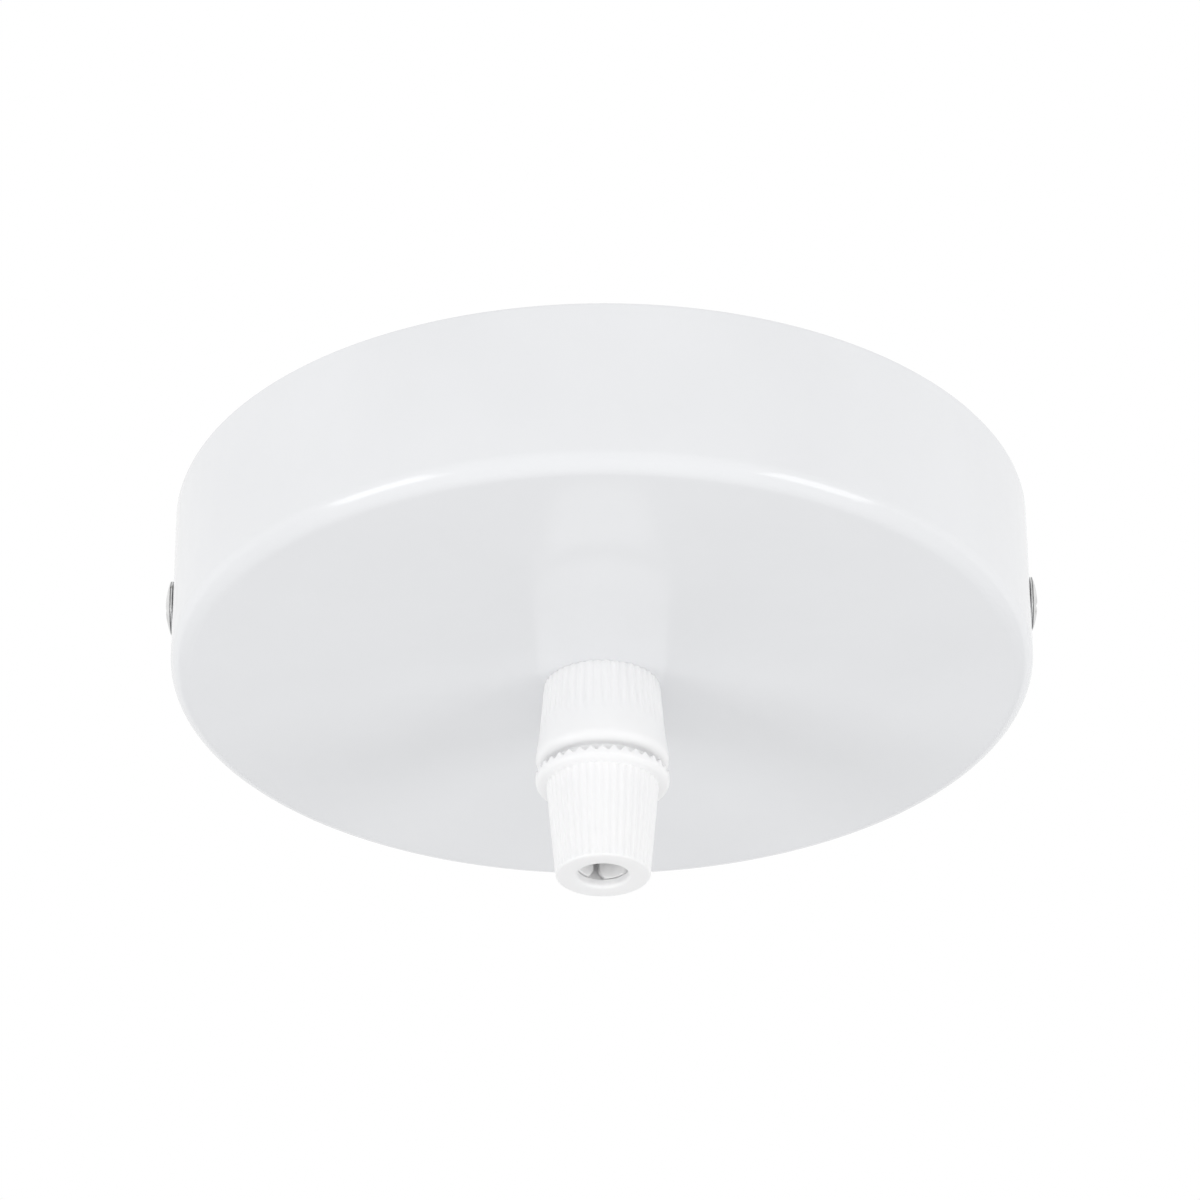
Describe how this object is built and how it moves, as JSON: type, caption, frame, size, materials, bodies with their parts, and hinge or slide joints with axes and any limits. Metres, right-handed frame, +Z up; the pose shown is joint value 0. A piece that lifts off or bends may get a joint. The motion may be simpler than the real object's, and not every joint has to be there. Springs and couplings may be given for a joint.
{
  "type": "ceiling rose",
  "caption": "Shallow round ceiling rose with a painted cup, side fixing screws, inner strap with terminals, and a ribbed cord grip hanging from its centre.",
  "frame": {"origin": "centre of the rose on the ceiling plane, midway between the strap's two slots", "axes": "+Z up into the ceiling, X through the two side screws, the cord grip hangs along -Z"},
  "size_m": [0.1224, 0.12, 0.0543],
  "materials": {
    "white_paint": "semi-gloss white paint on sheet steel",
    "white_nylon": "satin white moulded nylon",
    "nickel_plate": "bright nickel plate",
    "zinc_steel": "zinc-plated steel",
    "terminal_plastic": "natural polyamide",
    "brass": "plain turned brass"
  },
  "bodies": {
    "rose": {"canopy": "white_paint", "ceiling_bracket": "zinc_steel", "grip_body": "white_nylon", "lock_nut": "zinc_steel", "lock_washer": "zinc_steel", "terminal_block": "terminal_plastic", "terminal_insert_1": "brass", "terminal_insert_2": "brass", "terminal_screw_1": "brass", "terminal_screw_2": "brass", "terminal_screw_3": "brass", "terminal_screw_4": "brass", "terminal_fixing_screw": "zinc_steel", "earth_screw": "brass", "earth_washer": "brass"},
    "collet": {"grip_collet": "white_nylon"},
    "cap": {"grip_cap": "white_nylon"},
    "left_washer": {"side_washer_left": "nickel_plate"},
    "left_screw": {"side_screw_left": "nickel_plate"},
    "right_washer": {"side_washer_right": "nickel_plate"},
    "right_screw": {"side_screw_right": "nickel_plate"}
  },
  "joints": [
    {"name": "grip_collet_slide", "type": "slide", "parent": "rose", "child": "collet", "axis": [0, 0, -1], "range_m": [-0.00075, 0.0045]},
    {"name": "grip_cap_turn", "type": "hinge", "parent": "collet", "child": "cap", "pos_m": [0, 0, -0.046], "axis": [0, 0, -1], "range_deg": [-180, 1080]},
    {"name": "side_washer_left_slide", "type": "slide", "parent": "rose", "child": "left_washer", "axis": [-1, 0, 0], "range_m": [0, 0.0042]},
    {"name": "side_screw_left_turn", "type": "hinge", "parent": "left_washer", "child": "left_screw", "pos_m": [-0.06, 0, -0.012], "axis": [-1, 0, 0], "range_deg": [0, 2160]},
    {"name": "side_washer_right_slide", "type": "slide", "parent": "rose", "child": "right_washer", "axis": [1, 0, 0], "range_m": [0, 0.0042]},
    {"name": "side_screw_right_turn", "type": "hinge", "parent": "right_washer", "child": "right_screw", "pos_m": [0.06, 0, -0.012], "axis": [1, 0, 0], "range_deg": [0, 2160]}
  ],
  "couplings": [
    {"joint": "grip_cap_turn", "follows": "grip_collet_slide", "rad_per_m": 4188.8},
    {"joint": "side_screw_left_turn", "follows": "side_washer_left_slide", "rad_per_m": 8976},
    {"joint": "side_screw_right_turn", "follows": "side_washer_right_slide", "rad_per_m": 8976}
  ]
}
